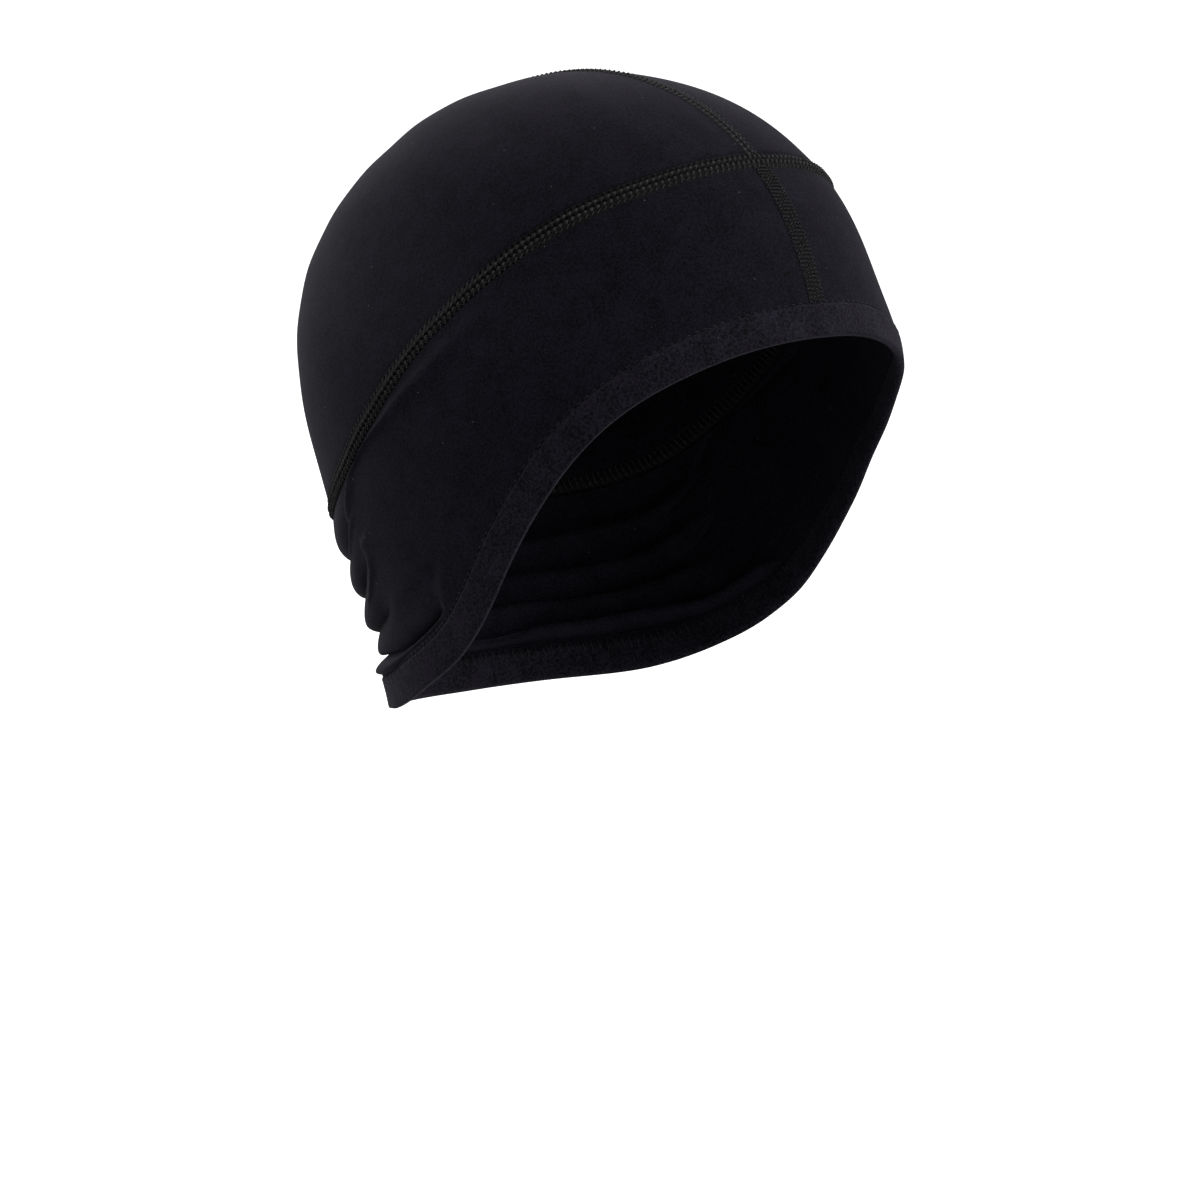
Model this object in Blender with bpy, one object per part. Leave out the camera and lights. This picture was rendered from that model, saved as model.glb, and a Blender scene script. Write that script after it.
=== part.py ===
"""Helmet liner cap: a close-fitting skull cap of stretch jersey, in the shape it takes when worn.

The wearer faces -Y and +Z is up. The origin is the spot inside the crown that rests on top of the head.
A place on the cap is a bearing and a level, both in degrees. The bearing runs round from the forehead
by way of the wearer's right (-X). The level is 0 at the top of the crown and 90 at the widest section.
"""
import math

import bmesh
import bpy
import numpy as np
from mathutils import Vector

# Sizes of the worn cap, in metres, to the outer face of the cloth
FRONT_REACH = 0.097
BACK_REACH = 0.101
SIDE_REACH = 0.0825
CROWN_RISE = 0.0886
SEAM_FRONT_DROP = 0.0234
SEAM_NAPE_DROP = 0.1390
HEM_FRONT_DROP = 0.0732
HEM_NAPE_DROP = 0.1965
CLOTH = 0.0012
HEM_CLOTH = 0.0022
HEM_WIDTH = 0.0105
HEM_PROUD = 0.0006
SEAM_WIDTH = 0.0065
SEAM_HEIGHT = 0.0010
MIDDLE_SEAM_WIDTH = 0.0072
FOLD_DEPTH = 0.0042
SEWING_GAP = 0.0003

# How square a horizontal section is: 2 is an ellipse
SQUARENESS = 2.08
# Below 1, a fold's crest is round and the crease beside it is sharp
CREASE_SHARPNESS = 0.8

# Facets round the cap, down the crown, down each fold and along the seams. Slopes are read over a step.
COLUMNS = 60
CROWN_ROWS = 12
FOLD_ROWS = 4
TOP_SEAM_STEPS = 28
FRONT_SEAM_STEPS = 8
DEGREE_STEP = 0.05

# Horizontal sections, as shares of the ellipsoid that the reaches and the crown's rise give
#           level  front  side   back
SECTIONS = ((0, 1.05, 1.00, 1.03),
            (15, 1.04, 1.00, 1.02),
            (30, 1.02, 0.99, 1.01),
            (45, 1.005, 0.975, 1.005),
            (60, 0.985, 0.945, 1.03),
            (75, 0.975, 0.965, 1.01),
            (90, 1.00, 1.005, 0.96),
            (105, 0.965, 0.985, 0.89),
            (120, 0.95, 0.94, 0.80),
            (135, 0.93, 0.87, 0.71),
            (150, 0.92, 0.78, 0.65),
            (165, 0.92, 0.71, 0.63))

# The seam between crown and band, as shares of the way from its front drop to its nape drop
#             bearing  share
SEAM_COURSE = ((0, 0.0),
               (20, 0.019),
               (35, 0.060),
               (50, 0.127),
               (65, 0.230),
               (80, 0.385),
               (95, 0.600),
               (107, 0.750),
               (120, 0.875),
               (145, 0.970),
               (180, 1.0))

# The lower edge of the hem, as shares of the way from its front drop to its nape drop
#            bearing  share
HEM_COURSE = ((0, 0.0),
              (15, 0.018),
              (30, 0.084),
              (45, 0.220),
              (60, 0.470),
              (70, 0.660),
              (80, 0.775),
              (90, 0.840),
              (105, 0.910),
              (120, 0.955),
              (145, 0.985),
              (180, 1.0))

# Folds round the nape, from the seam down to the hem. A fold's foot is a share of the band's height:
# one by the ear, where the fold starts, and one at the nape. The rise of its crest, the crease at its
# foot and its droop are shares of FOLD_DEPTH. It grows between the two bearings.
#        ear   nape  crest crease droop starts full
FOLDS = ((0.06, 0.27, 0.00, 0.40, 0.1, 106, 126),
         (0.40, 0.52, 0.05, 0.60, 0.2, 103, 122),
         (0.72, 0.72, 0.00, 0.80, 0.3, 94, 114),
         (0.95, 0.87, -0.15, 1.00, 0.6, 78, 108),
         (1.00, 1.00, 0.45, 0.05, 0.4, 86, 112))

# Round the hem's section: share of its width up from the edge, share of its thickness from the inside
#              up   out
HEM_SECTION = ((0.0, 0.5),
               (0.05, 0.85),
               (0.13, 1.0),
               (0.5, 1.0),
               (1.0, 1.0),
               (1.0, 0.0),
               (0.5, 0.0),
               (0.13, 0.0),
               (0.05, 0.15))

# Round a flat seam's section: share of its width to one side, share of its height
#               across  up
SEAM_SECTION = ((-0.5, 0.0),
                (-0.5, 0.5),
                (-0.3, 1.0),
                (0.0, 0.8),
                (0.3, 1.0),
                (0.5, 0.5),
                (0.5, 0.0))

JERSEY = ("jersey", (0.011, 0.010, 0.013), 0.85)
HEM_JERSEY = ("hem_jersey", (0.012, 0.011, 0.014), 0.9)
THREAD = ("thread", (0.016, 0.016, 0.017), 0.6)


def clear_scene():
    for item in list(bpy.data.objects):
        bpy.data.objects.remove(item)


def smooth_slopes(knots, values):
    """Slopes at the knots of the smoothest curve through the values, level at both ends."""
    count = len(knots)
    matrix, right = np.eye(count), np.zeros(count)
    for i in range(1, count - 1):
        before, after = knots[i] - knots[i - 1], knots[i + 1] - knots[i]
        matrix[i, i - 1:i + 2] = 1 / before, 2 / before + 2 / after, 1 / after
        rises = (values[i] - values[i - 1]) / before ** 2 + (values[i + 1] - values[i]) / after ** 2
        right[i] = 3 * rises
    return np.linalg.solve(matrix, right)


def smooth_table(table):
    """A function that reads a table's columns at any value of its first one."""
    knots = [row[0] for row in table]
    columns = [[row[i] for row in table] for i in range(1, len(table[0]))]
    slopes = [smooth_slopes(knots, values) for values in columns]

    def read(place):
        place = min(max(place, knots[0]), knots[-1])
        i = min(sum(knot <= place for knot in knots), len(knots) - 1) - 1
        span = knots[i + 1] - knots[i]
        t = (place - knots[i]) / span
        ease = t * t * (3 - 2 * t)
        lead, trail = t * (1 - t) ** 2 * span, t * t * (t - 1) * span
        return [values[i] * (1 - ease) + values[i + 1] * ease + slope[i] * lead + slope[i + 1] * trail
                for values, slope in zip(columns, slopes)]

    return read


section_at = smooth_table(SECTIONS)
seam_share = smooth_table(SEAM_COURSE)
hem_share = smooth_table(HEM_COURSE)


def folded_bearing(bearing):
    """The same place on the wearer's right, where the tables are written."""
    turned = bearing % 360
    return min(turned, 360 - turned)


def level_of(drop):
    """The level at a depth below the top of the crown."""
    if drop < CROWN_RISE:
        return math.degrees(math.acos(1 - drop / CROWN_RISE))
    return 90 + math.degrees((drop - CROWN_RISE) / CROWN_RISE)


def seam_level(bearing):
    share = seam_share(folded_bearing(bearing))[0]
    return level_of(SEAM_FRONT_DROP + share * (SEAM_NAPE_DROP - SEAM_FRONT_DROP))


def hem_level(bearing):
    share = hem_share(folded_bearing(bearing))[0]
    return level_of(HEM_FRONT_DROP + share * (HEM_NAPE_DROP - HEM_FRONT_DROP))


def face_point(bearing, level):
    """The outer face of the smooth cap, with no folds."""
    front, side, back = section_at(level)
    swell = math.sin(math.radians(min(level, 90)))
    turn = math.radians(bearing)
    ahead, aside = math.cos(turn), math.sin(turn)
    reach_ahead = FRONT_REACH * front if ahead > 0 else BACK_REACH * back
    reach_aside = SIDE_REACH * side
    reach = swell * ((abs(ahead) / reach_ahead) ** SQUARENESS
                     + (abs(aside) / reach_aside) ** SQUARENESS) ** (-1 / SQUARENESS)
    if level < 90:
        height = CROWN_RISE * (math.cos(math.radians(level)) - 1)
    else:
        height = -CROWN_RISE * (1 + math.radians(level - 90))
    return Vector((-reach * aside, -reach * ahead, CLOTH + height))


def face_slopes(bearing, level):
    """How the face moves for one degree round and for one degree down."""
    step = DEGREE_STEP
    across = face_point(bearing + step, level) - face_point(bearing - step, level)
    down = face_point(bearing, level + step) - face_point(bearing, level - step)
    return across / (2 * step), down / (2 * step)


def face_normal(bearing, level):
    if level < DEGREE_STEP:
        return Vector((0, 0, 1))
    across, down = face_slopes(bearing, level)
    return across.cross(down).normalized()


def beside(line, bearing, distance):
    """The bearing and level at a distance below a line on the cap, square to it."""
    level, step = line(bearing), DEGREE_STEP
    slope = (line(bearing + step) - line(bearing - step)) / (2 * step)
    across, down = face_slopes(bearing, level)
    along = across + slope * down
    lean = down.dot(along) / along.length_squared
    square = down * (1 - slope * lean) - across * lean
    move = distance / square.length
    return bearing - lean * move, level + (1 - slope * lean) * move


def grow(value, low, high):
    """0 below low, 1 above high, and smooth between."""
    t = min(max((value - low) / (high - low), 0), 1)
    return t * t * (3 - 2 * t)


def fold_places(bearing):
    """Each fold's head and foot at a bearing, as shares of the band's height, and how far it has grown."""
    head, places = 0, []
    for ear, nape, _, _, _, starts, full in FOLDS:
        grown = grow(folded_bearing(bearing), starts, full)
        foot = ear + (nape - ear) * grown
        places.append((head, foot, grown))
        head = foot
    return places


def fold_shape(places, fold, phase):
    """How far a fold stands out and hangs down, at a phase of 0 at its head to 1 at its foot."""
    _, _, crest, crease, droop, _, _ = FOLDS[fold]
    depth = FOLD_DEPTH * places[fold][2]
    above = FOLDS[fold - 1][3] * FOLD_DEPTH * places[fold - 1][2] if fold else 0
    bulge = math.sin(math.pi * phase) ** CREASE_SHARPNESS
    dip = above + (crease * depth - above) * phase
    return crest * depth * bulge - dip * (1 - bulge), droop * depth * bulge


def band_place(bearing, share):
    """Bearing and level at a share of the way down from the seam's lower edge to the hem."""
    under_seam = beside(seam_level, bearing, SEAM_WIDTH / 2 + SEWING_GAP)
    over_hem = beside(hem_level, bearing, -HEM_WIDTH - SEWING_GAP)
    return [a + (b - a) * share for a, b in zip(under_seam, over_hem)]


def band_point(bearing, row):
    """A point on the outer face of the band. Row 0 is its upper edge and row 1 the seam's lower edge."""
    if row == 0:
        return face_point(*beside(seam_level, bearing, SEWING_GAP / 2))
    fold, facet = divmod(row - 1, FOLD_ROWS)
    if fold == len(FOLDS):
        fold, facet = fold - 1, FOLD_ROWS
    places, phase = fold_places(bearing), facet / FOLD_ROWS
    head, foot, _ = places[fold]
    place = band_place(bearing, head + (foot - head) * phase)
    rise, hang = fold_shape(places, fold, phase)
    down = face_slopes(*place)[1].normalized()
    return face_point(*place) + face_normal(*place) * rise + down * hang


def crown_point(bearing, row):
    """A point on the outer face of the crown. Row 0 is the top and row 1 the panels' lower edge."""
    edge_bearing, edge_level = beside(seam_level, bearing, -SEWING_GAP / 2)
    return face_point(edge_bearing, edge_level * row)


def parted(point, side):
    """Moves a point on the middle plane to its own side of the gap between two panels."""
    if abs(point.x) < SEWING_GAP / 2:
        point.x = side * SEWING_GAP / 2
    return point


def grid(mesh, columns, rows, place):
    """A grid of faces in the mesh, each corner set by the place function from its column and row."""
    made = bmesh.ops.create_grid(mesh, x_segments=columns, y_segments=rows, size=1)
    for vertex in made["verts"]:
        column = round((vertex.co.x + 1) / 2 * columns)
        row = round((vertex.co.y + 1) / 2 * rows)
        vertex.co = place(column, row)
    bmesh.ops.remove_doubles(mesh, verts=made["verts"], dist=1e-6)


def new_object(name, mesh, finish):
    bmesh.ops.recalc_face_normals(mesh, faces=mesh.faces)
    data = bpy.data.meshes.new(name)
    mesh.to_mesh(data)
    mesh.free()
    data.shade_smooth()
    data.set_sharp_from_angle(angle=math.radians(50))
    data.materials.append(material(*finish))
    item = bpy.data.objects.new(name, data)
    bpy.context.scene.collection.objects.link(item)
    return item


def material(name, colour, roughness):
    made = bpy.data.materials.get(name)
    if made is None:
        made = bpy.data.materials.new(name)
        made.use_nodes = True
        shader = made.node_tree.nodes["Principled BSDF"]
        shader.inputs["Base Color"].default_value = (*colour, 1)
        shader.inputs["Roughness"].default_value = roughness
        shader.inputs["Metallic"].default_value = 0
    return made


def panel(name, columns, rows, point, finish):
    """A cut piece of cloth: its outer face, thickened inwards."""
    mesh = bmesh.new()
    grid(mesh, columns, rows, point)
    item = new_object(name, mesh, finish)
    wall = item.modifiers.new("wall", "SOLIDIFY")
    wall.thickness = CLOTH
    wall.offset = -1
    wall.use_even_offset = True
    wall.use_quality_normals = True
    return item


def strip(name, steps, section, point, finish, closed):
    """A strip with a section of its own, run along a line on the cap."""
    mesh = bmesh.new()
    around = len(section)
    grid(mesh, steps, around,
         lambda step, turn: point(step % steps if closed else step, *section[turn % around]))
    if not closed:
        ends = [edge for edge in mesh.edges if edge.is_boundary]
        bmesh.ops.holes_fill(mesh, edges=ends)
    return new_object(name, mesh, finish)


def make_crown_panel(name, side):
    """Half of the crown, from the top seam down to the band. A side of -1 is the wearer's right."""
    half = COLUMNS // 2

    def point(column, row):
        placed = crown_point(column * 180 / half, row / CROWN_ROWS)
        return parted(Vector((-side * placed.x, placed.y, placed.z)), side)

    return panel(name, half, CROWN_ROWS, point, JERSEY)


def make_band():
    """One strip of cloth round the head, its ends meeting at the forehead."""
    ends = {0: -1, COLUMNS: 1}

    def point(column, row):
        placed = band_point(column * 360 / COLUMNS, row)
        return parted(placed, ends[column]) if column in ends else placed

    return panel("band", COLUMNS, len(FOLDS) * FOLD_ROWS + 1, point, JERSEY)


def make_hem():
    """The doubled edge round the opening."""
    def point(step, up, out):
        place = beside(hem_level, step * 360 / COLUMNS, -up * HEM_WIDTH)
        proud = HEM_PROUD - (1 - out) * HEM_CLOTH
        return face_point(*place) + face_normal(*place) * proud

    return strip("hem", COLUMNS, HEM_SECTION, point, HEM_JERSEY, closed=True)


def make_crown_seam():
    """The flat seam that joins the crown to the band, all the way round."""
    def point(step, across, up):
        place = beside(seam_level, step * 360 / COLUMNS, across * SEAM_WIDTH)
        return face_point(*place) + face_normal(*place) * (SEWING_GAP + up * SEAM_HEIGHT)

    return strip("crown_seam", COLUMNS, SEAM_SECTION, point, THREAD, closed=True)


def make_middle_seam(name, first, last, steps):
    """A flat seam on the middle plane. Levels ahead of the top are negative and those behind positive."""
    def point(step, across, up):
        level = first + (last - first) * step / steps
        place = (0, -level) if level < 0 else (180, level)
        rise = face_normal(*place) * (SEWING_GAP + up * SEAM_HEIGHT)
        return face_point(*place) + rise + Vector((across * MIDDLE_SEAM_WIDTH, 0, 0))

    return strip(name, steps, SEAM_SECTION, point, THREAD, closed=False)


def make_cap():
    clear_scene()
    make_crown_panel("crown_right", -1)
    make_crown_panel("crown_left", 1)
    make_band()
    make_hem()
    make_crown_seam()
    clear = SEAM_WIDTH / 2 + SEWING_GAP
    front_top = beside(seam_level, 0, -clear)[1]
    nape_top = beside(seam_level, 180, -clear)[1]
    make_middle_seam("top_seam", -front_top, nape_top, TOP_SEAM_STEPS)
    front_foot = beside(hem_level, 0, -HEM_WIDTH - SEWING_GAP)[1]
    make_middle_seam("front_seam", -beside(seam_level, 0, clear)[1], -front_foot, FRONT_SEAM_STEPS)


make_cap()
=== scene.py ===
"""Looks of the helmet liner cap: brushed stretch jersey, flatlock seams and a turned hem.

The wearer faces -Y and +Z is up. A place on the cap is a bearing and a level, both in degrees. The
bearing runs round from the forehead by way of the wearer's right (-X). The level is 0 at the top of
the crown and 90 at the widest section. A rise is a height above the smooth cap. Lengths are in metres.
"""
import math

import bmesh
import bpy
import numpy as np
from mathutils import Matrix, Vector


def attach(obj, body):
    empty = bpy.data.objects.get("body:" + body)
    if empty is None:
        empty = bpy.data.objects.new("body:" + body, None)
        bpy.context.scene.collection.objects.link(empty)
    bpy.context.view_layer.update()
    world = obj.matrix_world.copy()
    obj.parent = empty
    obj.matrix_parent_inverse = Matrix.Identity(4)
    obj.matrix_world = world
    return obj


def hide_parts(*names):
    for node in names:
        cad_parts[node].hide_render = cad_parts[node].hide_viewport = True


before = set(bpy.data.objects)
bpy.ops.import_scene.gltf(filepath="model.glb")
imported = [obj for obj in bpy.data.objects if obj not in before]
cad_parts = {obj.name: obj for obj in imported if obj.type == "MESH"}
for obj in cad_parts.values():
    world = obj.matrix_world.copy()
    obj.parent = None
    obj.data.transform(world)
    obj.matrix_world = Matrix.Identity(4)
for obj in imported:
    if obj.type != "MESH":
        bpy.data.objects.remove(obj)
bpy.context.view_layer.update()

MM = 0.001

# Sizes of the worn cap, to the outer face of the cloth
FRONT_REACH = 0.097
BACK_REACH = 0.101
SIDE_REACH = 0.0825
CROWN_RISE = 0.0886
SEAM_FRONT_DROP = 0.0234
SEAM_NAPE_DROP = 0.1390
HEM_FRONT_DROP = 0.0732
HEM_NAPE_DROP = 0.1965
CLOTH = 0.0012
HEM_CLOTH = 0.0022
HEM_WIDTH = 0.0105
HEM_PROUD = 0.0006
SEAM_WIDTH = 0.0065
MIDDLE_SEAM_WIDTH = 0.0072
FOLD_DEPTH = 0.0042

# How square a horizontal section is: 2 is an ellipse
SQUARENESS = 2.08
# Slopes of the face are read over this many degrees
DEGREE_STEP = 0.05
# Cloth stretched over a head rises and falls by up to three times the slack, in waves about this long
SLACK = 0.00012
WAVE = 0.046

# Flat seams. The strip of overlapped cloth swells by its lift, and the rope of thread starts at its own.
# The strip reaches over the edges of both panels, further over the crown's from the temples back, and the
# edges of strip and panels sink a little. Needle dents stop before the inner face of the cloth.
STITCH = 0.0020
STRIP_LIFT = 0.00012
ROPE_LIFT = 0.00028
OVERLAP = 0.0004
SIDE_OVERLAP = 0.0011
EDGE_SINK = 0.0003
NEEDLE_DEPTH = 0.0026
NEEDLE_SPREAD = 0.00048
DEEPEST_DENT = 0.8 * CLOTH
STRIP_END = 0.0012
SEAM_TUCK = 0.0012

# The crown seam's lines of needle dents, and its rows of thread. Over the bearings of TEMPLE its rope
# moves down across the seam and narrows.
CROWN_NEEDLES = (-0.0021, 0.0001, 0.0026)
#                from     to       radius
CROWN_ROPE = ((-0.0013, -0.0004, 0.00042),
              (0.0006, 0.0015, 0.00044))
CROWN_LOWER_ROW = (0.0017, 0.0029, 0.00018)
CROWN_UPPER_ROW = (-0.0026, -0.0012, 0.00012)
INNER_ROW = (-0.0026, 0.0026, 0.00026)
TEMPLE = (58, 76)
ROPE_SHIFT = 0.00065
ROPE_CLOSES = 0.16
ROPE_THINS = 0.3

# The top seam, in the same way. A needle line has a place and a share of the needle's depth.
TOP_NEEDLES = ((-0.0028, 0.9), (0.0, 0.3), (0.0028, 0.4))
#              from     to       radius
TOP_ROWS = ((-0.0021, -0.0005, 0.00034),
            (0.0003, 0.0014, 0.00034),
            (0.0016, 0.0028, 0.00018))

# The forehead seam's mesh: columns of crossed threads with a needle line down the middle of each
MESH_STITCH = 0.0012
MESH_COLUMN = 0.0016
MESH_COLUMNS = 4
MESH_THREAD = 0.00018
MESH_NEEDLE = 0.25

# The hem: how far it reaches over the band and the band under it, the round of its edge, its slope down
# to the line of stitches, the groove and the puckers there, and the swelling over the forehead seam's end
HEM_REACH = 0.0012
BAND_TUCK = 0.0004
HEM_ROUND = 0.0008
HEM_SLOPE = 0.0012
HEM_STITCH = 0.0026
HEM_GROOVE = 0.00055
HEM_GROOVE_SPREAD = 0.0006
PUCKER = 0.00006
PUCKER_PLACE = 0.0095
PUCKER_SPREAD = 0.0022
HEM_SWELLING = 0.0002
HEM_SWELLING_SPREAD = 0.0030

# The hem's thread: dashes outside, and the zigzag that covers the cut edge inside
HEM_THREAD = 0.0002
DASH_RISE = 0.0001
DASH_DIP = 0.0011
ZIGZAG_ROW = (-0.0003, 0.0036, 0.00024)

# Horizontal sections, as shares of the ellipsoid that the reaches and the crown's rise give
#           level  front  side   back
SECTIONS = ((0, 1.05, 1.00, 1.03),
            (15, 1.04, 1.00, 1.02),
            (30, 1.02, 0.99, 1.01),
            (45, 1.005, 0.975, 1.005),
            (60, 0.985, 0.945, 1.03),
            (75, 0.975, 0.965, 1.01),
            (90, 1.00, 1.005, 0.96),
            (105, 0.965, 0.985, 0.89),
            (120, 0.95, 0.94, 0.80),
            (135, 0.93, 0.87, 0.71),
            (150, 0.92, 0.78, 0.65),
            (165, 0.92, 0.71, 0.63))

# The seam between crown and band, as shares of the way from its front drop to its nape drop
#             bearing  share
SEAM_COURSE = ((0, 0.0),
               (20, 0.019),
               (35, 0.060),
               (50, 0.127),
               (65, 0.230),
               (80, 0.385),
               (95, 0.600),
               (107, 0.750),
               (120, 0.875),
               (145, 0.970),
               (180, 1.0))

# The lower edge of the hem, as shares of the way from its front drop to its nape drop
#            bearing  share
HEM_COURSE = ((0, 0.0),
              (15, 0.018),
              (30, 0.084),
              (45, 0.220),
              (60, 0.470),
              (70, 0.660),
              (80, 0.775),
              (90, 0.840),
              (105, 0.910),
              (120, 0.955),
              (145, 0.985),
              (180, 1.0))

# Folds round the nape, from the seam down to the hem. A fold's foot is a share of the band's height:
# one by the ear, where the fold starts, and one at the nape. The rise of its crest, the crease at its
# foot and its droop are shares of FOLD_DEPTH. It grows between the two bearings, and the last column
# is how round its crest is: the smaller, the sharper the creases beside it. All the feet move from their
# place by the ear to the one at the nape over the bearings of FEET_MOVE.
#        ear   nape  crest crease droop starts full round
FOLDS = ((0.06, 0.27, 0.30, 0.40, 0.1, 108, 124, 0.7),
         (0.40, 0.52, 0.18, 0.60, 0.3, 104, 119, 0.6),
         (0.76, 0.72, 0.10, 1.00, 0.6, 96, 112, 0.6),
         (0.957, 0.87, -0.15, 1.35, 0.7, 76, 81, 0.5),
         (1.00, 1.00, 0.45, 0.05, 0.4, 92, 116, 1.1))
FEET_MOVE = (92, 126)

# Round the nape the feet wander by a share of the band's height, and the creases' depth by a share of
# itself, both growing between two bearings
WANDER = 0.012
WANDER_GROWS = (128, 150)
UNEVEN_DEPTH = 0.15
UNEVEN_GROWS = (125, 145)

# Edges of the taut side, behind which the two upper folds fall away. Each is a ridge that rises slowly
# from ahead and falls fast behind, over a stretch of the band's height.
#              share bearing
UPPER_EDGE = ((0.00, 111),
              (0.08, 112),
              (0.16, 113),
              (0.24, 114),
              (0.33, 120))
LOWER_EDGE = ((0.34, 108),
              (0.42, 107),
              (0.50, 106),
              (0.57, 110),
              (0.62, 115))
UPPER_RIDGE = 0.0009
UPPER_STRETCH = (-0.02, 0.34)
LOWER_RIDGE = 0.0010
LOWER_STRETCH = (0.34, 0.62)
RIDGE_FADES = 0.06
RIDGE_AHEAD = 0.0042
RIDGE_BEHIND = 0.0013

# The soft ridge of pulled cloth under the seam, which narrows over some bearings, and starts and ends
# over others. All ridges begin below the seam's edge.
#            bearing share
PULLED = ((66, 0.120),
          (76, 0.118),
          (84, 0.110),
          (92, 0.066),
          (101, 0.024),
          (112, 0.004))
PULLED_RISE = 0.0011
PULLED_WIDE = 0.0045
PULLED_NARROW = 0.0013
PULLED_NARROWS = (80, 104)
PULLED_STARTS = (66, 82)
PULLED_ENDS = (108, 114)
RIDGES_BEGIN = 0.0014

# Lengths of one degree of bearing by the ear and at the forehead's hem, and the band's height by the ear
EAR_DEGREE = 1.45 * MM
FOREHEAD_DEGREE = 1.4 * MM
BAND_HEIGHT = 0.085

# Facets of the fine cloth. From the temples back, where the folds are, the band has more to the degree.
BAND_COLUMNS = 460
BAND_FINER = 1.7
BAND_FINER_FROM = (60, 85)
FOLD_ROWS = 17
CROWN_COLUMNS = 150
CROWN_ROWS = 80
# Facets of the hem and the seams: along a stitch, across the outer face and across the inner one
HEM_FACETS = (4, 24, 8)
STRIP_FACETS = (6, 26, 6)
# Facets of a thread: along a loop, along a dash and round it
LOOP_FACETS = 10
DASH_FACETS = 8
THREAD_SIDES = 5

# The photograph: a square picture, the pixel of the cap's axis at its widest section, and its scale there.
# Azimuths run from straight ahead, positive towards +X.
PICTURE = 1200
AXIS_PIXEL = (597.2, 365.5)
MM_PER_PIXEL = 0.3024
CAMERA_AZIMUTH = -44.5
CAMERA_HEIGHT = 6.0
CAMERA_DISTANCE = 1.6
SENSOR = 36.0

# The studio: where the least light comes from, the floor, and soft square lights that face the cap
SHADE_AZIMUTH = -62.0
FLOOR_BELOW = 0.33
FLOOR_SIZE = 60
LIT_POINT = (0, 0, -0.09)
#          name            place               side watts
LIGHTS = (("overhead", (0.2, -0.2, 1.9), 1.6, 1.5),
          ("behind left", (-0.8, 1.75, 0.4), 1.6, 4),
          ("behind right", (0.7, 1.6, 0.5), 1.6, 5),
          ("ahead right", (0.80, -1.45, 0.3), 1.2, 7))


def smooth_table(table):
    """A function that reads a table's columns at any value of its first one, level at both ends."""
    rows = np.array(table, float)
    knots, values = rows[:, 0], rows[:, 1:]
    matrix, right = np.eye(len(knots)), np.zeros_like(values)
    for i in range(1, len(knots) - 1):
        before, after = knots[i] - knots[i - 1], knots[i + 1] - knots[i]
        matrix[i, i - 1:i + 2] = 1 / before, 2 / before + 2 / after, 1 / after
        right[i] = 3 * (values[i] - values[i - 1]) / before ** 2
        right[i] += 3 * (values[i + 1] - values[i]) / after ** 2
    slopes = np.linalg.solve(matrix, right)

    def read(place):
        place = np.clip(place, knots[0], knots[-1])
        i = np.clip(np.searchsorted(knots, place, side="right") - 1, 0, len(knots) - 2)
        span = (knots[i + 1] - knots[i])[..., None]
        t = (place - knots[i])[..., None] / span
        ease = t * t * (3 - 2 * t)
        lead, trail = t * (1 - t) ** 2 * span, t * t * (t - 1) * span
        made = values[i] * (1 - ease) + values[i + 1] * ease + slopes[i] * lead + slopes[i + 1] * trail
        return np.moveaxis(made, -1, 0)

    return read


section_at = smooth_table(SECTIONS)
seam_share = smooth_table(SEAM_COURSE)
hem_share = smooth_table(HEM_COURSE)
upper_edge = smooth_table(UPPER_EDGE)
lower_edge = smooth_table(LOWER_EDGE)
pulled_share = smooth_table(PULLED)


def folded(bearing):
    """The same places on the wearer's right, where the tables are written."""
    turned = np.mod(bearing, 360)
    return np.minimum(turned, 360 - turned)


def level_of(drop):
    """The level at a depth below the top of the crown."""
    upper = np.degrees(np.arccos(np.clip(1 - drop / CROWN_RISE, 0, 1)))
    return np.where(drop < CROWN_RISE, upper, 90 + np.degrees(drop / CROWN_RISE - 1))


def seam_level(bearing):
    share = seam_share(folded(bearing))[0]
    return level_of(SEAM_FRONT_DROP + share * (SEAM_NAPE_DROP - SEAM_FRONT_DROP))


def hem_level(bearing):
    share = hem_share(folded(bearing))[0]
    return level_of(HEM_FRONT_DROP + share * (HEM_NAPE_DROP - HEM_FRONT_DROP))


def face_point(bearing, level):
    """The outer face of the smooth cap, with no folds."""
    front, side, back = section_at(level)
    turn = np.radians(bearing)
    ahead, aside = np.cos(turn), np.sin(turn)
    reach_ahead = np.where(ahead > 0, FRONT_REACH * front, BACK_REACH * back)
    reach = (np.abs(ahead / reach_ahead) ** SQUARENESS
             + np.abs(aside / (SIDE_REACH * side)) ** SQUARENESS) ** (-1 / SQUARENESS)
    reach = reach * np.sin(np.radians(np.minimum(level, 90)))
    upper = CROWN_RISE * (np.cos(np.radians(level)) - 1)
    height = np.where(level < 90, upper, -CROWN_RISE * (1 + np.radians(level - 90)))
    return np.stack([-reach * aside, -reach * ahead, CLOTH + height], -1)


def face_slopes(bearing, level):
    """How the face moves for one degree round and for one degree down."""
    step = DEGREE_STEP
    across = face_point(bearing + step, level) - face_point(bearing - step, level)
    down = face_point(bearing, level + step) - face_point(bearing, level - step)
    return across / (2 * step), down / (2 * step)


def unit(vectors):
    return vectors / np.maximum(np.linalg.norm(vectors, axis=-1, keepdims=True), 1e-12)


def face_normal(bearing, level):
    """Square to the face. At the very top it is read half a degree down, where bearings still differ."""
    across, down = face_slopes(bearing, np.maximum(level, 0.5))
    return unit(np.cross(across, down))


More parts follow.
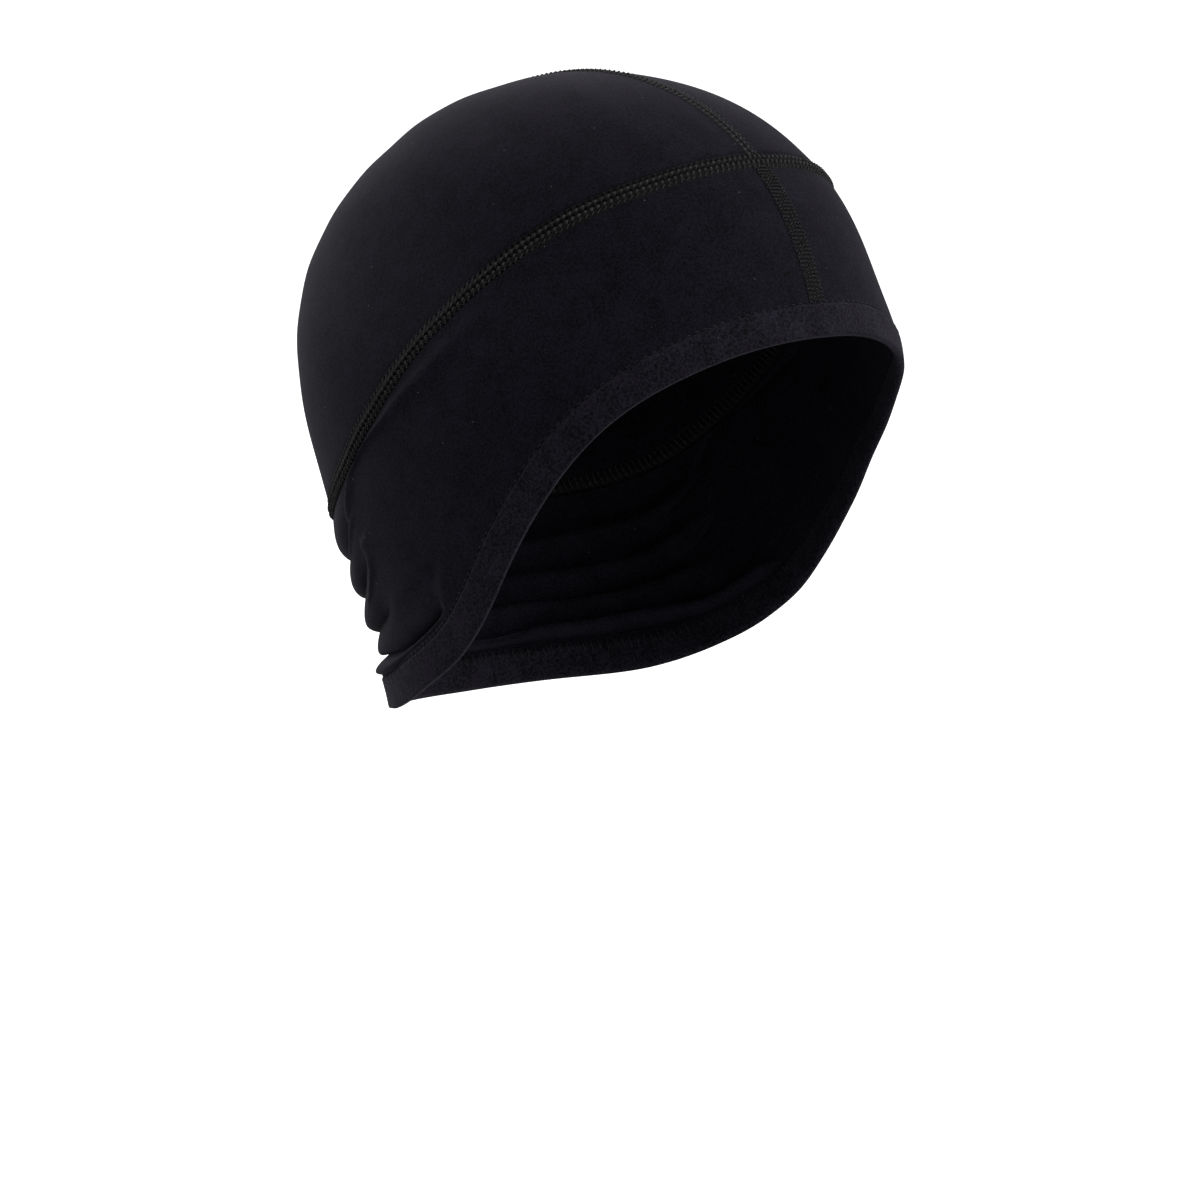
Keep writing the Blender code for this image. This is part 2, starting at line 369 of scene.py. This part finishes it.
def beside(line, bearing, distance):
    """The bearing and level at a distance below a line on the cap, square to it."""
    level, step = line(bearing), DEGREE_STEP
    slope = (line(bearing + step) - line(bearing - step)) / (2 * step)
    across, down = face_slopes(bearing, level)
    along = across + slope[..., None] * down
    lean = np.sum(down * along, -1) / np.sum(along * along, -1)
    square = down * (1 - slope * lean)[..., None] - across * lean[..., None]
    move = distance / np.linalg.norm(square, axis=-1)
    return bearing - lean * move, level + (1 - slope * lean) * move


def grow(value, low, high):
    """0 below low, 1 above high, and smooth between."""
    t = np.clip((value - low) / (high - low), 0, 1)
    return t * t * (3 - 2 * t)


def hump(distance, spread):
    """1 at no distance, falling to nothing at about twice the spread."""
    return np.exp(-(distance / spread) ** 2)


def pulse(stitches):
    """1 at every whole stitch and 0 between."""
    return 0.5 + 0.5 * np.cos(2 * np.pi * stitches)


def lift(bearing, level, rise):
    """Places at a rise, with the slight unevenness of cloth stretched over a head."""
    point = face_point(bearing, level)
    x, y, z = np.moveaxis(point, -1, 0) * (2 * np.pi / WAVE)
    waves = np.sin(x + 0.6 * z) + np.sin(0.8 * y - 1.3 * z + 1) + 0.7 * np.sin(1.7 * x - 0.9 * y + 1.9 * z)
    return point + face_normal(bearing, level) * (rise + SLACK * waves)[..., None]


def even_steps(at, first, last, samples):
    """Values at even shares of the length of a line on the cap, as a function, and that length."""
    values = np.linspace(first, last, samples)
    steps = np.linalg.norm(np.diff(face_point(*at(values)), axis=0), axis=1)
    length = np.concatenate([[0], np.cumsum(steps)])
    return (lambda share: np.interp(share * length[-1], length, values)), length[-1]


def round_line(line):
    """Bearings at even shares of the length of a line round the cap, as a function, and that length."""
    return even_steps(lambda bearing: (bearing, line(bearing)), 0.0, 360.0, 3601)


def fold_places(bearing):
    """Each fold's head, foot and growth at the bearings, heads and feet as shares of the band's height."""
    head, places = np.zeros_like(bearing), []
    wander = WANDER * grow(folded(bearing), *WANDER_GROWS)
    turn = np.radians(bearing)
    moved = grow(folded(bearing), *FEET_MOVE)
    for i, (ear, nape, _, _, _, starts, full, _) in enumerate(FOLDS):
        grown = grow(folded(bearing), starts, full)
        foot = ear + (nape - ear) * moved
        if i < len(FOLDS) - 1:
            foot = foot + wander * (np.sin(turn * 4 + 2.1 * i) + np.sin(turn * 9 - i))
        places.append((head, foot, grown))
        head = foot
    return places


def fold_shape(places, fold, phase, bearing):
    """How far a fold stands out and hangs down, at a phase of 0 at its head to 1 at its foot."""
    _, _, crest, crease, droop, _, _, roundness = FOLDS[fold]
    depth = FOLD_DEPTH * places[fold][2]
    above = FOLDS[fold - 1][3] * FOLD_DEPTH * places[fold - 1][2] if fold else 0
    bulge = np.sin(np.pi * phase) ** roundness
    dip = above + (crease * depth - above) * phase
    uneven = np.sin(np.radians(bearing) * 7 + 3.1 * fold) * grow(folded(bearing), *UNEVEN_GROWS)
    return crest * depth * bulge - dip * (1 + UNEVEN_DEPTH * uneven) * (1 - bulge), droop * depth * bulge


def pull(bearing, share):
    """The rise of ridges where the taut side pulls: two edges over the folds, and one under the seam."""
    around = folded(bearing)
    rise = np.zeros_like(bearing)
    for edge, (low, high), height in ((upper_edge, UPPER_STRETCH, UPPER_RIDGE),
                                      (lower_edge, LOWER_STRETCH, LOWER_RIDGE)):
        past = (around - edge(share)[0]) * EAR_DEGREE
        spread = np.where(past < 0, RIDGE_AHEAD, RIDGE_BEHIND)
        shown = grow(share, low, low + RIDGE_FADES) * (1 - grow(share, high - RIDGE_FADES, high))
        rise = rise + height * hump(past, spread) * shown
    spread = PULLED_WIDE + (PULLED_NARROW - PULLED_WIDE) * grow(around, *PULLED_NARROWS)
    shown = grow(around, *PULLED_STARTS) * (1 - grow(around, *PULLED_ENDS))
    rise = rise + PULLED_RISE * hump((share - pulled_share(around)[0]) * BAND_HEIGHT, spread) * shown
    return rise * grow(share * BAND_HEIGHT, 0, RIDGES_BEGIN)


def band_place(bearing, share):
    """Bearing and level at a share of the way down from the seam's lower edge to the hem."""
    first = beside(seam_level, bearing, SEAM_WIDTH / 2)
    last = beside(hem_level, bearing, -HEM_WIDTH)
    return [a + (b - a) * share for a, b in zip(first, last)]


def band_point(bearing, row):
    """Places on the band's outer face. Whole rows are the creases, from the seam to the hem.

    A row above the first or below the last is the edge that lies under the seam or the hem."""
    places = fold_places(bearing)
    fold = np.clip(np.floor(row), 0, len(FOLDS) - 1).astype(int)
    phase = np.clip(row - fold, 0, 1)
    point = np.zeros(bearing.shape + (3,))
    for i, (head, foot, _) in enumerate(places):
        share = head + (foot - head) * phase
        place = band_place(bearing, share)
        rise, hang = fold_shape(places, i, phase, bearing)
        rise = rise + pull(bearing, share)
        made = lift(*place, rise) + unit(face_slopes(*place)[1]) * hang[..., None]
        point = np.where((fold == i)[..., None], made, point)
    above = beside(seam_level, bearing, SEAM_WIDTH / 2 - OVERLAP)
    below = beside(hem_level, bearing, BAND_TUCK - HEM_WIDTH)
    point = np.where((row < 0)[..., None], lift(*above, np.full_like(bearing, -EDGE_SINK)), point)
    tucked = lift(*below, np.full_like(bearing, -2 * EDGE_SINK))
    return np.where((row > len(FOLDS))[..., None], tucked, point)


def side_share(bearing):
    """0 on the front stretch of the crown seam, and 1 from behind the temples, where it narrows."""
    return grow(folded(bearing), *TEMPLE)


def crown_point(bearing, row):
    """Places on the crown's outer face. Row 0 is the top and row 1 under the seam."""
    reach = OVERLAP + SIDE_OVERLAP * side_share(bearing)
    edge_bearing, edge_level = beside(seam_level, bearing, reach - SEAM_WIDTH / 2)
    # The last 0.7 degrees above the edge sink under the seam
    sunk = 1 - grow((1 - row) * edge_level, 0, 0.7)
    return lift(edge_bearing, edge_level * row, -EDGE_SINK * sunk)


def grid(mesh, columns, rows, place):
    """A grid of faces whose corners the place function sets from arrays of their columns and rows."""
    verts = bmesh.ops.create_grid(mesh, x_segments=columns, y_segments=rows, size=1)["verts"]
    corners = np.array([vertex.co for vertex in verts])
    column = np.round((corners[:, 0] + 1) / 2 * columns)
    row = np.round((corners[:, 1] + 1) / 2 * rows)
    for vertex, point in zip(verts, place(column, row)):
        vertex.co = point
    bmesh.ops.remove_doubles(mesh, verts=verts, dist=1e-6)


def finish_mesh(name, mesh, material):
    """Closes the mesh's ends, turns its faces outwards and makes it an object."""
    bmesh.ops.holes_fill(mesh, edges=[edge for edge in mesh.edges if edge.is_boundary], sides=60)
    bmesh.ops.recalc_face_normals(mesh, faces=mesh.faces)
    data = bpy.data.meshes.new(name)
    mesh.to_mesh(data)
    mesh.free()
    data.shade_smooth()
    data.materials.append(material)
    item = bpy.data.objects.new(name, data)
    bpy.context.scene.collection.objects.link(item)
    return item


def wall(item, thickness):
    """Gives an outer face its thickness, inwards."""
    made = item.modifiers.new("wall", "SOLIDIFY")
    made.thickness = thickness
    made.offset = -1
    made.use_quality_normals = True


def in_place(item, node):
    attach(item, "root")
    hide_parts(node)
    return item


def make_crown_panel(name, side, material):
    """Half of the crown. A side of -1 is the wearer's right."""
    mesh = bmesh.new()

    def place(column, row):
        return crown_point(column * 180 / CROWN_COLUMNS, row / CROWN_ROWS) * (-side, 1, 1)

    grid(mesh, CROWN_COLUMNS, CROWN_ROWS, place)
    item = finish_mesh(name, mesh, material)
    wall(item, CLOTH)
    return item


def make_band(material):
    """The band, with its upper edge under the crown seam and its lower edge under the hem."""
    mesh = bmesh.new()
    bearings = np.linspace(0, 360, 3601)
    weight = np.cumsum(1 + BAND_FINER * grow(folded(bearings), *BAND_FINER_FROM))
    weight = (weight - weight[0]) / (weight[-1] - weight[0])
    rows = len(FOLDS) * FOLD_ROWS + 2

    def place(column, row):
        fold_row = (row - 1) / FOLD_ROWS
        fold_row = np.where(row == 0, -1, np.where(row == rows, len(FOLDS) + 1, fold_row))
        return band_point(np.interp(column / BAND_COLUMNS, weight, bearings), fold_row)

    grid(mesh, BAND_COLUMNS, rows, place)
    item = finish_mesh("band_panel", mesh, material)
    wall(item, CLOTH)
    return item


def round_trip(row, outer, inner):
    """Rows that go out over the outer face and come back along the inner one.

    It gives whether they are outside, and their share of the way across."""
    row = np.mod(row, outer + inner)
    outside = row <= outer
    return outside, np.where(outside, row / outer, 1 - (row - outer) / inner)


def hem_rise(up, stitch, ahead):
    """The rise of the hem's outer face, at a distance up from its edge and degrees off the forehead."""
    column = stitch * HEM_FACETS[0]
    strength = 0.7 + 0.3 * np.sin(column * 0.43) * np.sin(column * 0.11 + 1)
    swell = HEM_PROUD * (1 - grow(up, HEM_WIDTH - HEM_SLOPE, HEM_WIDTH))
    groove = HEM_GROOVE * hump(up - HEM_WIDTH, HEM_GROOVE_SPREAD) * (0.2 + 0.8 * pulse(stitch)) * strength
    sunk = EDGE_SINK * 1.6 * grow(up, HEM_WIDTH + BAND_TUCK, HEM_WIDTH + HEM_REACH)
    puckers = PUCKER * strength * np.sin(stitch * np.pi) * hump(up - PUCKER_PLACE, PUCKER_SPREAD)
    swelling = HEM_SWELLING * hump(ahead * FOREHEAD_DEGREE, HEM_SWELLING_SPREAD) * grow(up, 0, 0.002)
    return swell - groove - sunk + puckers + swelling


def make_hem(material):
    """The doubled edge round the opening, rounded where the cloth turns, with its line of needle holes."""
    bearings, length = round_line(hem_level)
    facets, outer, inner = HEM_FACETS
    stitches = round(length / HEM_STITCH)
    half = (HEM_CLOTH - HEM_PROUD) / 2
    mesh = bmesh.new()

    def place(column, row):
        outside, share = round_trip(row, outer, inner)
        bearing = bearings(np.mod(column / facets / stitches, 1))
        up = (HEM_WIDTH + HEM_REACH * outside) * share
        edge = np.sqrt(np.clip(1 - (1 - np.minimum(up / HEM_ROUND, 1)) ** 2, 0, 1))
        face = hem_rise(up, column / facets, folded(bearing)) * edge - half * (1 - edge)
        return lift(*beside(hem_level, bearing, -up), np.where(outside, face, -half - HEM_CLOTH / 2 * edge))

    grid(mesh, stitches * facets, outer + inner, place)
    return finish_mesh("turned_hem", mesh, material)


def tube(mesh, samples, centre, thickness):
    """A thread along a line. The centre and thickness functions read arrays of sample numbers."""

    def place(column, row):
        here, ahead = centre(row), centre(row + 0.1)
        along = unit(ahead - here)
        outward = unit(here - (0, 0, CLOTH - CROWN_RISE))
        sideways = unit(np.cross(along, outward))
        angle = (2 * np.pi * np.mod(column, THREAD_SIDES) / THREAD_SIDES)[..., None]
        ring = np.cross(sideways, along) * np.cos(angle) + sideways * np.sin(angle)
        return here + ring * thickness(row)[..., None]

    grid(mesh, THREAD_SIDES, samples, place)


def at_stitch(value, stitch):
    """A value that is a number, or a function of the stitch number."""
    return value(stitch) if callable(value) else value


def looper(mesh, count, locate, row, rise, lean=0.35, phase=0.0, inside=False, size=1.0):
    """Thread that crosses a seam in thick strokes and comes back thin and low, once a stitch.

    A row is where its strokes start and end across the seam, and the thread's radius. A stroke takes
    0.6 of a stitch's samples, and leans over by a share of a stitch."""
    start, end, radius = row
    stroke = 0.6

    def course(sample):
        stitch = sample / LOOP_FACETS
        swing = np.mod(stitch, 1)
        over = swing < stroke
        share = np.where(over, swing / stroke, (swing - stroke) / (1 - stroke))
        return np.floor(stitch + 1e-9), over, share

    def centre(sample):
        stitch, over, share = course(sample)
        across = start + (end - start) * np.where(over, share, 1 - share)
        along = stitch + phase + np.where(over, lean * share, lean + (1 - lean) * share)
        arch = np.sin(np.pi * share) ** 0.6
        height = rise + radius * np.where(over, 0.9 * arch - 0.15, -0.35 - 0.75 * arch)
        return locate(along, across, -CLOTH - height if inside else height)

    def thickness(sample):
        stitch, over, share = course(sample)
        return radius * at_stitch(size, stitch) * np.where(over, 1 - 0.35 * (2 * share - 1) ** 4, 0.5)

    tube(mesh, count * LOOP_FACETS, centre, thickness)


def make_strip(name, count, locate, width, needles, closed, material):
    """The overlapped cloth under a flat seam, with needle dents along its lines.

    A needle line is how far it lies across the seam and its share of the needle's depth."""
    facets, outer, inner = STRIP_FACETS
    mesh = bmesh.new()

    def place(column, row):
        stitch = column / facets
        outside, share = round_trip(row, outer, inner)
        share = share * 2 - 1
        across = share * width / 2
        puff = (STRIP_LIFT + EDGE_SINK) * np.sqrt(np.clip(1 - np.abs(share) ** 3, 0, 1)) - EDGE_SINK
        if not closed:
            near_end = np.minimum(stitch, count - stitch) * STITCH
            puff = puff - (STRIP_LIFT + EDGE_SINK) * (1 - grow(near_end, 0, STRIP_END))
        rise = puff
        for line, depth in needles:
            holes = NEEDLE_DEPTH * at_stitch(depth, stitch) * (0.08 + 0.92 * pulse(stitch) ** 1.5)
            rise = rise - holes * hump(across - at_stitch(line, stitch), NEEDLE_SPREAD)
        return locate(stitch, across, np.where(outside, np.maximum(rise, -DEEPEST_DENT), -CLOTH - puff))

    grid(mesh, count * facets, outer + inner, place)
    return finish_mesh(name, mesh, material)


def make_crown_seam(cloth, thread):
    """The flat seam between crown and band. Its rope of thread moves to the lower edge behind the temple."""
    bearings, length = round_line(seam_level)
    count = round(length / STITCH)

    def bearing_at(stitch):
        return bearings(np.mod(stitch / count, 1))

    def behind(stitch):
        return side_share(bearing_at(stitch))

    def locate(stitch, across, rise):
        return lift(*beside(seam_level, bearing_at(stitch), across), rise)

    def shifted(stitch, across, rise):
        moved = across * (1 - ROPE_CLOSES * behind(stitch)) + ROPE_SHIFT * behind(stitch)
        return locate(stitch, moved, rise)

    upper, middle, lower = CROWN_NEEDLES
    needles = ((upper, lambda stitch: 1 - 0.8 * behind(stitch)),
               (lambda stitch: middle + ROPE_SHIFT * behind(stitch), 0.5),
               (lower, lambda stitch: 0.1 + 0.9 * behind(stitch)))
    base = make_strip("crown_seam_cloth", count, locate, SEAM_WIDTH, needles, True, cloth)
    mesh = bmesh.new()
    for row in CROWN_ROPE:
        looper(mesh, count, shifted, row, ROPE_LIFT, size=lambda stitch: 1 - ROPE_THINS * behind(stitch))
    looper(mesh, count, locate, CROWN_LOWER_ROW, STRIP_LIFT, lean=0.6)
    looper(mesh, count, locate, CROWN_UPPER_ROW, STRIP_LIFT * 0.6, lean=0.6,
           size=lambda stitch: 0.1 + 0.9 * behind(stitch))
    looper(mesh, count, locate, INNER_ROW, ROPE_LIFT, lean=0.5, inside=True)
    return base, finish_mesh("crown_seam_thread", mesh, thread)


def middle_line(first, last, stitch_length):
    """Stitches along the middle plane. Levels ahead of the top are negative and those behind positive."""

    def at(level):
        return np.where(level < 0, 0.0, 180.0), np.abs(level)

    levels, length = even_steps(at, first, last, 1801)
    count = round(length / stitch_length)

    def locate(stitch, across, rise):
        bearing, down = at(levels(stitch / count))
        point = lift(bearing, down, np.asarray(rise) - across ** 2 / (2 * SIDE_REACH))
        return point + np.stack([across, 0 * across, 0 * across], -1)

    return locate, count


def make_top_seam(last, nape, cloth, thread):
    """The flat seam over the top, between the two halves of the crown. Its rows are out of step."""
    locate, count = middle_line(-last, nape, STITCH)
    base = make_strip("top_seam_cloth", count, locate, MIDDLE_SEAM_WIDTH, TOP_NEEDLES, False, cloth)
    upper, middle, lower = TOP_ROWS
    mesh = bmesh.new()
    looper(mesh, count - 1, locate, upper, STRIP_LIFT)
    looper(mesh, count - 1, locate, middle, STRIP_LIFT, phase=0.5)
    looper(mesh, count - 1, locate, lower, STRIP_LIFT, phase=0.25, lean=0.6)
    looper(mesh, count, locate, INNER_ROW, ROPE_LIFT, lean=0.5, inside=True)
    return base, finish_mesh("top_seam_thread", mesh, thread)


def make_front_seam(first, last, cloth, thread):
    """The flat seam at the forehead: threads that cross into a mesh of small diamonds."""
    locate, count = middle_line(-last, -first, MESH_STITCH)

    def unruly(stitch, across, rise):
        strayed = stitch + 0.16 * np.sin(5.3 * stitch + 900 * across)
        return locate(strayed, across * (1 + 0.07 * np.sin(2.9 * stitch)), rise)

    lows = [(column - MESH_COLUMNS / 2) * MESH_COLUMN for column in range(MESH_COLUMNS)]
    needles = [(low + MESH_COLUMN / 2, MESH_NEEDLE) for low in lows]
    base = make_strip("front_seam_cloth", count, locate, MIDDLE_SEAM_WIDTH, needles, False, cloth)
    mesh = bmesh.new()
    for low in lows:
        for start, end in ((low, low + MESH_COLUMN), (low + MESH_COLUMN, low)):
            looper(mesh, count, unruly, (start, end, MESH_THREAD), STRIP_LIFT * 1.5, lean=0.5)
    looper(mesh, count, locate, INNER_ROW, ROPE_LIFT, lean=0.5, inside=True)
    return base, finish_mesh("front_seam_thread", mesh, thread)


def make_hem_thread(thread):
    """The hem's stitches: short dashes outside, and a zigzag over the cut edge inside."""
    bearings, length = round_line(hem_level)
    count = round(length / HEM_STITCH)

    def locate(stitch, across, rise):
        return lift(*beside(hem_level, bearings(np.mod(stitch / count, 1)), across - HEM_WIDTH), rise)

    def dash(sample):
        stitch = sample / DASH_FACETS
        return locate(stitch, 0 * stitch, DASH_RISE - DASH_DIP * pulse(stitch) ** 1.5)

    mesh = bmesh.new()
    tube(mesh, count * DASH_FACETS, dash, lambda sample: np.full_like(sample, HEM_THREAD))
    looper(mesh, count, locate, ZIGZAG_ROW, HEM_CLOTH - HEM_PROUD - CLOTH, lean=0.5, inside=True)
    return finish_mesh("hem_thread", mesh, thread)


def linear(code):
    """A linear colour from an sRGB hex value."""
    parts = [int(code[i:i + 2], 16) / 255 for i in (1, 3, 5)]
    return tuple(c / 12.92 if c <= 0.04045 else ((c + 0.055) / 1.055) ** 2.4 for c in parts) + (1,)


def node(tree, kind, inputs=None, **settings):
    """Adds a node. Inputs are values or other nodes' outputs, by name or number."""
    made = tree.nodes.new(kind)
    for key, value in settings.items():
        setattr(made, key, value)
    for key, value in (inputs or {}).items():
        if isinstance(value, bpy.types.NodeSocket):
            tree.links.new(value, made.inputs[key])
        else:
            made.inputs[key].default_value = value
    return made


def new_material(name, **finish):
    """A material with a Principled shader. Its finish is values for the shader's own inputs."""
    made = bpy.data.materials.new(name)
    made.use_nodes = True
    shader = made.node_tree.nodes["Principled BSDF"]
    for key, value in finish.items():
        shader.inputs[key.replace("_", " ")].default_value = value
    return made, made.node_tree, shader


def jersey_material(name, dark, light, grain_mm, bump):
    """Brushed polyester stretch jersey: matt, black with a violet cast, and paler where it turns away.

    The nap of fine fibres is drawn about five times as coarse as it is, so that it shows. It lies in
    soft clouds about 7 mm across, with lint here and there, in specks up to half a millimetre across."""
    made, tree, shader = new_material(name, Roughness=0.8, Specular_IOR_Level=0.10, Sheen_Weight=0.08,
                                      Sheen_Roughness=0.45, Sheen_Tint=linear("#d6cdea"))
    place = node(tree, "ShaderNodeTexCoord").outputs["Object"]
    grain = node(tree, "ShaderNodeTexNoise",
                 {"Vector": place, "Scale": 1 / (grain_mm * MM), "Detail": 3.0, "Roughness": 0.7})
    clouds = node(tree, "ShaderNodeTexNoise", {"Vector": place, "Scale": 1 / (7 * MM), "Detail": 2.0})
    mixed = node(tree, "ShaderNodeMath", {0: clouds.outputs["Fac"], 1: 0.25, 2: grain.outputs["Fac"]},
                 operation="MULTIPLY_ADD")
    share = node(tree, "ShaderNodeMapRange",
                 {"Value": mixed.outputs[0], "From Min": 0.49, "From Max": 0.76})
    tone = node(tree, "ShaderNodeMix", {0: share.outputs[0], 6: linear(dark), 7: linear(light)},
                data_type="RGBA")
    lint = node(tree, "ShaderNodeTexVoronoi", {"Vector": place, "Scale": 1 / (6.5 * MM)})
    speck = node(tree, "ShaderNodeMath", {0: lint.outputs["Distance"], 1: 0.036}, operation="LESS_THAN")
    speckled = node(tree, "ShaderNodeMix",
                    {0: speck.outputs[0], 6: tone.outputs[2], 7: linear("#55545c")}, data_type="RGBA")
    relief = node(tree, "ShaderNodeBump",
                  {"Height": grain.outputs["Fac"], "Strength": bump, "Distance": 0.3 * MM})
    tree.links.new(speckled.outputs[2], shader.inputs["Base Color"])
    tree.links.new(relief.outputs[0], shader.inputs["Normal"])
    return made


def thread_material(name, dark, light):
    """Textured polyester seam thread: soft crimped filament, a little greyer than the cloth. The light
    colour given for a thread is partly painted sheen, paler than the thread's own grey so that its loops
    look lit.
    """
    made, tree, shader = new_material(name, Roughness=0.6, Specular_IOR_Level=0.15, Sheen_Weight=0.04)
    place = node(tree, "ShaderNodeTexCoord").outputs["Object"]
    fibre = node(tree, "ShaderNodeTexNoise",
                 {"Vector": place, "Scale": 1 / (0.9 * MM), "Detail": 3.0, "Roughness": 0.7})
    share = node(tree, "ShaderNodeMapRange",
                 {"Value": fibre.outputs["Fac"], "From Min": 0.35, "From Max": 0.65})
    tone = node(tree, "ShaderNodeMix", {0: share.outputs[0], 6: linear(dark), 7: linear(light)},
                data_type="RGBA")
    tree.links.new(tone.outputs[2], shader.inputs["Base Color"])
    return made


def paper_material():
    """Matt white paper sweep. A little light of its own keeps it white out to the horizon."""
    return new_material("matt_white_paper", Base_Color=linear("#f6f6f6"), Roughness=0.9,
                        Emission_Color=linear("#ffffff"), Emission_Strength=0.8)[0]


def make_floor():
    """A pale floor that the cap doesn't mirror or take its tone from."""
    mesh = bmesh.new()
    bmesh.ops.create_grid(mesh, x_segments=1, y_segments=1, size=FLOOR_SIZE)
    bmesh.ops.translate(mesh, verts=mesh.verts, vec=(0, 0, -FLOOR_BELOW))
    data = bpy.data.meshes.new("floor")
    mesh.to_mesh(data)
    mesh.free()
    data.materials.append(paper_material())
    floor = bpy.data.objects.new("floor", data)
    bpy.context.scene.collection.objects.link(floor)
    floor.visible_diffuse = floor.visible_glossy = False


def make_surround():
    """A surround that looks white, and lights the cap softly, less from below and from the shaded side."""
    world = bpy.data.worlds.new("studio")
    bpy.context.scene.world = world
    world.use_nodes = True
    tree = world.node_tree
    direction = node(tree, "ShaderNodeTexCoord").outputs["Generated"]
    turn = math.radians(SHADE_AZIMUTH)
    height = node(tree, "ShaderNodeVectorMath", {0: direction, 1: (0, 0, 1)}, operation="DOT_PRODUCT")
    aside = node(tree, "ShaderNodeVectorMath", {0: direction, 1: (math.sin(turn), -math.cos(turn), 0)},
                 operation="DOT_PRODUCT")
    upper = node(tree, "ShaderNodeMapRange", {"Value": height.outputs["Value"], "From Min": -0.5,
                                              "From Max": 0.6, "To Min": 0.38, "To Max": 0.62})
    dimmed = node(tree, "ShaderNodeMapRange", {"Value": aside.outputs["Value"], "From Min": 0.1,
                                               "From Max": 0.9, "To Min": 1.0, "To Max": 0.5})
    lit = node(tree, "ShaderNodeMath", {0: upper.outputs[0], 1: dimmed.outputs[0]}, operation="MULTIPLY")
    seen = node(tree, "ShaderNodeLightPath").outputs["Is Camera Ray"]
    strength = node(tree, "ShaderNodeMath", {0: lit.outputs[0], 1: seen}, operation="MAXIMUM")
    background = tree.nodes["Background"]
    tree.links.new(strength.outputs[0], background.inputs["Strength"])
    background.inputs["Color"].default_value = linear("#ffffff")


def make_lights():
    for name, place, side, watts in LIGHTS:
        light = bpy.data.lights.new(name, "AREA")
        light.size = side
        light.energy = watts
        item = bpy.data.objects.new(name, light)
        item.location = place
        item.rotation_euler = (Vector(LIT_POINT) - item.location).to_track_quat("-Z", "Y").to_euler()
        bpy.context.scene.collection.objects.link(item)
    bpy.context.scene.view_settings.view_transform = "Standard"


def make_camera():
    """The photograph's view, from ahead of the wearer's right. It is aimed at the picture's middle."""
    turn, rise = math.radians(CAMERA_AZIMUTH), math.radians(CAMERA_HEIGHT)
    axis = Vector((0, 0, CLOTH - CROWN_RISE))
    back = Vector((math.sin(turn) * math.cos(rise), -math.cos(turn) * math.cos(rise), math.sin(rise)))
    right = Vector((math.cos(turn), math.sin(turn), 0))
    up = back.cross(right)
    middle = [(PICTURE / 2 - pixel) * MM_PER_PIXEL * MM for pixel in AXIS_PIXEL]
    camera = bpy.data.objects.new("camera", bpy.data.cameras.new("camera"))
    camera.location = axis + back * CAMERA_DISTANCE
    aim = axis + right * middle[0] - up * middle[1]
    camera.rotation_euler = (aim - camera.location).to_track_quat("-Z", "Y").to_euler()
    camera.data.sensor_width = SENSOR
    camera.data.lens = SENSOR * CAMERA_DISTANCE / (PICTURE * MM_PER_PIXEL * MM)
    bpy.context.scene.collection.objects.link(camera)
    bpy.context.scene.camera = camera


def make_cap():
    """The cap's pieces. The two middle seams end under the crown seam, a tuck inside its edges."""
    jersey = jersey_material("brushed_stretch_jersey", "#08070c", "#211e2a", 0.7, 0.4)
    hem_jersey = jersey_material("doubled_stretch_jersey", "#07060a", "#2e2b36", 0.8, 0.7)
    # The light ends of both thread colours are partly painted sheen: paler than the threads' own grey, so
    # that the loops look lit
    thread = thread_material("textured_polyester_thread_painted_sheen", "#202022", "#4e4e50")
    fine_thread = thread_material("fine_polyester_thread_painted_sheen", "#161618", "#38383a")
    # The seam strips' neutral grey is the thread-covered cloth's own. Their darker tone is partly painted
    # shade, so that the needle dents and the gaps between the loops look black.
    strip_with_painted_shade = thread_material("seam_strip_jersey_painted_shade", "#0b0b0d", "#19191b")
    right = in_place(make_crown_panel("crown_panel_right", -1, jersey), "crown_right")
    left = in_place(make_crown_panel("crown_panel_left", 1, jersey), "crown_left")
    band = in_place(make_band(jersey), "band")
    hem = in_place(make_hem(hem_jersey), "hem")
    hem_thread = in_place(make_hem_thread(fine_thread), "hem")
    front, nape, inset = np.array(0.0), np.array(180.0), SEAM_WIDTH / 2 - SEAM_TUCK
    top_ends = beside(seam_level, front, -inset)[1], beside(seam_level, nape, -inset)[1]
    front_ends = beside(seam_level, front, inset)[1], beside(hem_level, front, -HEM_WIDTH)[1]
    for seam, pieces in (("crown_seam", make_crown_seam(strip_with_painted_shade, thread)),
                         ("top_seam", make_top_seam(*top_ends, strip_with_painted_shade, thread)),
                         ("front_seam", make_front_seam(*front_ends, strip_with_painted_shade, fine_thread))):
        [in_place(piece, seam) for piece in pieces]


make_floor()
make_surround()
make_lights()
make_camera()
make_cap()
